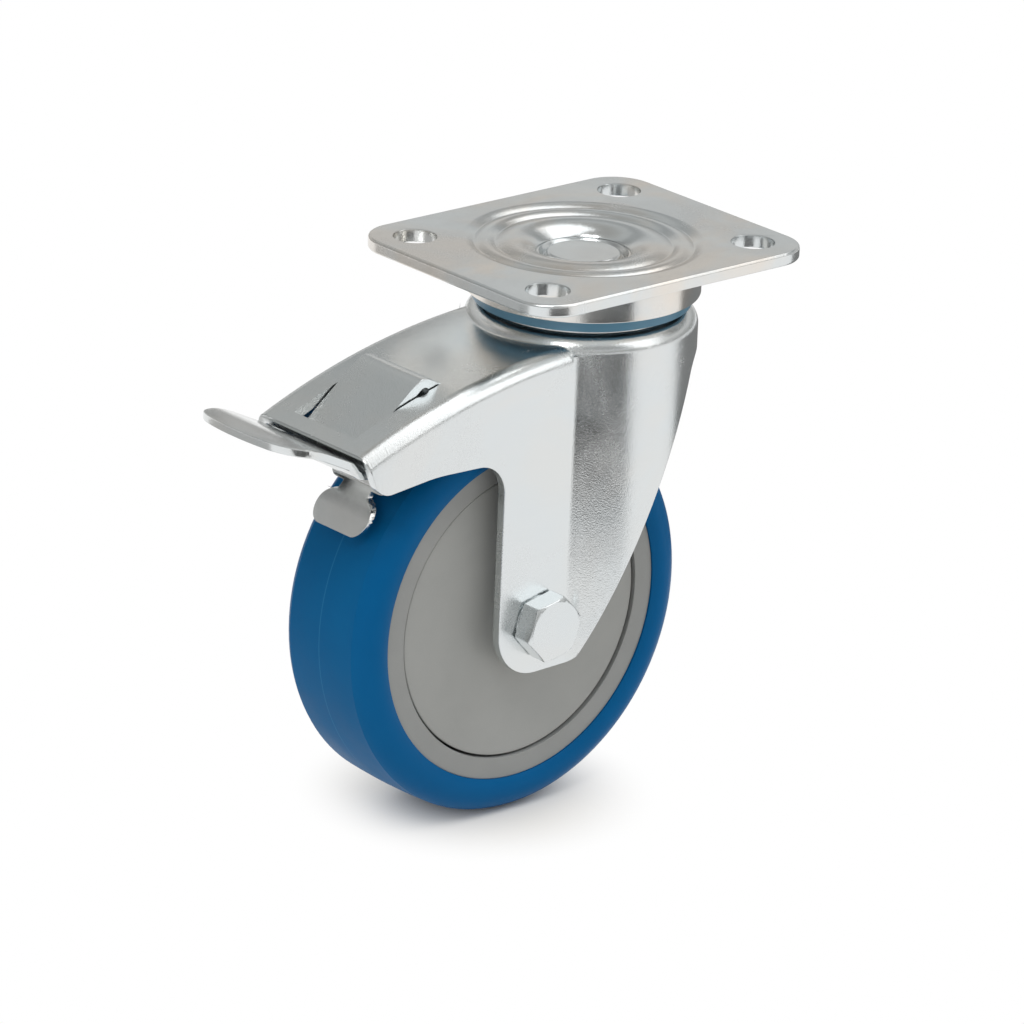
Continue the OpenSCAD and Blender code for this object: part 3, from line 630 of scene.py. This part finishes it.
def makeMouldGroup(setup):
    group, tree, start, end = newGroup(
        "mouldedSkin",
        [("Place", "NodeSocketVector", None), ("Depth", "NodeSocketFloat", 0.2)],
        [("Normal", "NodeSocketVector"), ("Flow", "NodeSocketFloat"),
         ("Grain", "NodeSocketFloat")],
    )
    place = start["Place"]
    fine = tree.noise(place, *setup["fine"])
    slow = tree.noise(place, *setup["slow"])
    normal = tree.bump(slow, setup["slowStrength"], setup["slowDepth"])
    normal = tree.bump(fine, start["Depth"], setup["fineDepth"], normal)
    tree.join(normal, end["Normal"])
    tree.join(tree.mapRange(slow, *setup["flowRange"]), end["Flow"])
    tree.join(tree.mapRange(fine, *setup["grainRange"]), end["Grain"])
    return group


mouldGroup = makeMouldGroup(mouldSetup)


def makeMoulded(name, colour, flow, roughness, depth, gleam=0.5):
    material, tree, shader, place = newMaterial(name)
    skin = useGroup(tree, mouldGroup, Place=place, Depth=depth)
    mixed = tree.mixColour(skin["Flow"], colour, flow)
    darker = tuple(mouldSetup["grainTone"] * channel for channel in colour[:3]) + (1.0,)
    mixed = tree.mixColour(
        tree.math("MULTIPLY", skin["Grain"], mouldSetup["grainShare"]), mixed, darker
    )
    tree.join(mixed, shader.inputs["Base Color"])
    rough = tree.mapRange(skin["Flow"], 0.0, 1.0, *roughness)
    tree.join(rough, shader.inputs["Roughness"])
    tree.join(skin["Normal"], shader.inputs["Normal"])
    shader.inputs["Specular IOR Level"].default_value = gleam
    return material, tree, shader, place, mixed, rough


tyreSetup = {
    "shoulderColour": (0.0010, 0.114, 0.325, 1.0),
    "shoulderShare": 0.55,
    "shoulderPolish": 0.12,
    "shoulder": (0.0112, 0.0172),  # distances from the middle of the tread, in metres
    "lineColour": (0.03, 0.21, 0.45, 1.0),
    "lineShare": 0.8,
    "lineWidth": 0.00030,
}


def makeTyreRubber(setup):
    material, tree, shader, place, mixed, rough = makeMoulded(
        "blueRubber", **mouldedKinds["blueRubber"]
    )
    across = tree.math("ABSOLUTE", tree.split(place)[1])
    # The mould's halves meet in a hair line round the middle of the tread
    line = tree.mapRange(across, 0.0, setup["lineWidth"], 1.0, 0.0)
    side = tree.mapRange(across, *setup["shoulder"], smooth=True)
    mixed = tree.mixColour(
        tree.math("MULTIPLY", side, setup["shoulderShare"]), mixed, setup["shoulderColour"]
    )
    mixed = tree.mixColour(
        tree.math("MULTIPLY", line, setup["lineShare"]), mixed, setup["lineColour"]
    )
    tree.join(mixed, shader.inputs["Base Color"])
    polish = tree.math("MULTIPLY", side, setup["shoulderPolish"])
    tree.join(tree.math("SUBTRACT", rough, polish), shader.inputs["Roughness"])
    return material


materials = {"blueRubber": makeTyreRubber(tyreSetup)}
for kind, values in zincKinds.items():
    materials[kind] = makeZinc(kind, zincSetup, **values)
for kind, values in mouldedKinds.items():
    if kind not in materials:
        materials[kind] = makeMoulded(kind, **values)[0]

finishes = {
    "top_plate": "zincPlate",
    "head_cup": "zincPlate",
    "dust_seal": "sealPlastic",
    "king_pin": "zincSmall",
    "lower_race": "groundSteel",
    "lock_ring": "groundSteel",
    "fork": "zincFork",
    "upper_balls": "groundSteel",
    "lower_balls": "groundSteel",
    "axle_bolt": "zincBolt",
    "axle_nut": "zincBolt",
    "nut_insert": "nylon",
    "axle_sleeve": "groundSteel",
    "near_thread_guard": "guardPlastic",
    "far_thread_guard": "guardPlastic",
    "bearing_inner_rings": "groundSteel",
    "brake_pivot": "groundSteel",
    "tyre": "blueRubber",
    "wheel_rim": "greyPlastic",
    "bearing_outer_rings": "groundSteel",
    "bearing_balls": "groundSteel",
    "bearing_seals": "blackRubber",
    "brake_pedal": "zincSmall",
    "brake_leaf": "zincSmall",
}

for nodeName, finish in finishes.items():
    slots = nodes[nodeName].data.materials
    slots.clear()
    slots.append(materials[finish])

print("stage 3: softened edges")

# Sheared and pressed edges are never quite sharp: width of the rounding in metres
edgeSetup = {
    "top_plate": 0.00035,
    "head_cup": 0.0003,
    "dust_seal": 0.0003,
    "fork": 0.0004,
    "brake_pedal": 0.0004,
    "brake_leaf": 0.00022,
    "axle_bolt": 0.0003,
    "axle_nut": 0.0003,
    "wheel_rim": 0.00025,
    "near_thread_guard": 0.0002,
    "far_thread_guard": 0.0002,
}

# Points this near to each other become one before the edges are rounded, in metres
weldSetup = {"brake_leaf": 0.00008, "other": 0.000002}

# Angles between two faces in degrees: flat ones merge, sharp ones get the rounding
angleSetup = {"flat": 0.4, "smooth": 30.0, "sharp": 40.0}

# The narrow slits beside the fork's pressed strip keep their sheared edges
slitBox = {"low": (-0.0985, 0.0128, -0.043), "high": (-0.0645, 0.0147, -0.027)}


def besideSlit(edge):
    for vert in edge.verts:
        place = (vert.co.x, abs(vert.co.y), vert.co.z)
        if all(low <= value <= high for low, value, high in zip(
            slitBox["low"], place, slitBox["high"]
        )):
            return True
    return False


def finishPiece(bm, name, material, body):
    for face in bm.faces:
        face.smooth = True
    for edge in bm.edges:
        edge.smooth = edge.calc_face_angle(0.0) < math.radians(angleSetup["smooth"])
    piece = addPiece(name, bm)
    piece.data.materials.append(material)
    # Large flat faces keep their own direction beside the rounded edges
    level = piece.modifiers.new("flatFaces", "WEIGHTED_NORMAL")
    level.keep_sharp = True
    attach(piece, body)
    return piece


# A welded copy of a CAD node whose sharp edges are rounded over
def standIn(name, width):
    bm = bmesh.new()
    bm.from_mesh(nodes[name].data)
    bmesh.ops.remove_doubles(bm, verts=bm.verts, dist=weldSetup.get(name, weldSetup["other"]))
    bmesh.ops.dissolve_limit(
        bm, angle_limit=math.radians(angleSetup["flat"]), verts=bm.verts, edges=bm.edges,
        use_dissolve_boundaries=False,
    )
    corner = math.radians(angleSetup["sharp"])
    sharp = [edge for edge in bm.edges if edge.calc_face_angle(0.0) > corner]
    if name == "fork":
        sharp = [edge for edge in sharp if not besideSlit(edge)]
    bmesh.ops.bevel(
        bm, geom=sharp, affect="EDGES", offset_type="OFFSET", offset=width, segments=2,
        profile=0.5, material=-1, clamp_overlap=False, miter_outer="ARC", loop_slide=True,
    )
    bmesh.ops.triangulate(bm, faces=[face for face in bm.faces if len(face.verts) > 4])
    material = materials[finishes[name]]
    piece = finishPiece(bm, name + "_finished", material, bodyOf[name])
    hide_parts(name)


for nodeName, width in edgeSetup.items():
    standIn(nodeName, width)
